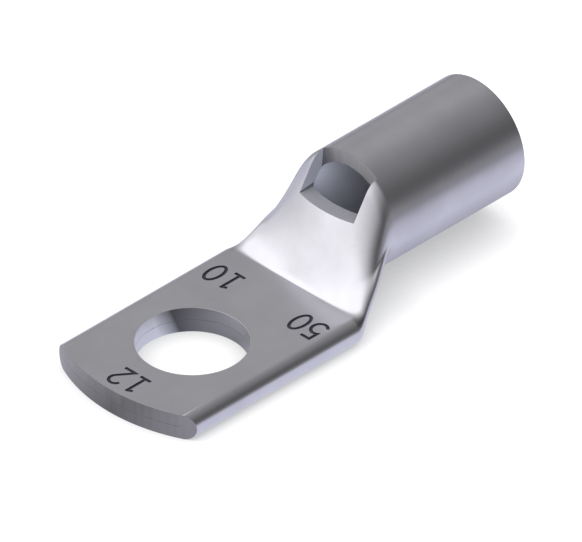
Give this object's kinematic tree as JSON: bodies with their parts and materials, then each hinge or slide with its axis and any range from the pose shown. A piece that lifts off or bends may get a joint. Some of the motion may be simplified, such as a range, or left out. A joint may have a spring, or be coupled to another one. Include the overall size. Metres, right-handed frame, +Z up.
{
  "type": "cable lug",
  "caption": "Tubular ring terminal pressed from one tube: round barrel for a stranded conductor, cranked flat palm with a stud hole, inspection window at the bend.",
  "frame": {"origin": "on the contact face, at the axis of the stud hole", "axes": "+X along the lug from the palm towards the barrel's open end, +Z up through the palm, away from the contact face"},
  "size_m": [0.047, 0.0176, 0.0132],
  "materials": {
    "tinned_copper": "plain grey tin plating over copper, satin"
  },
  "bodies": {
    "root": {"lug": "tinned_copper"}
  },
  "joints": []
}
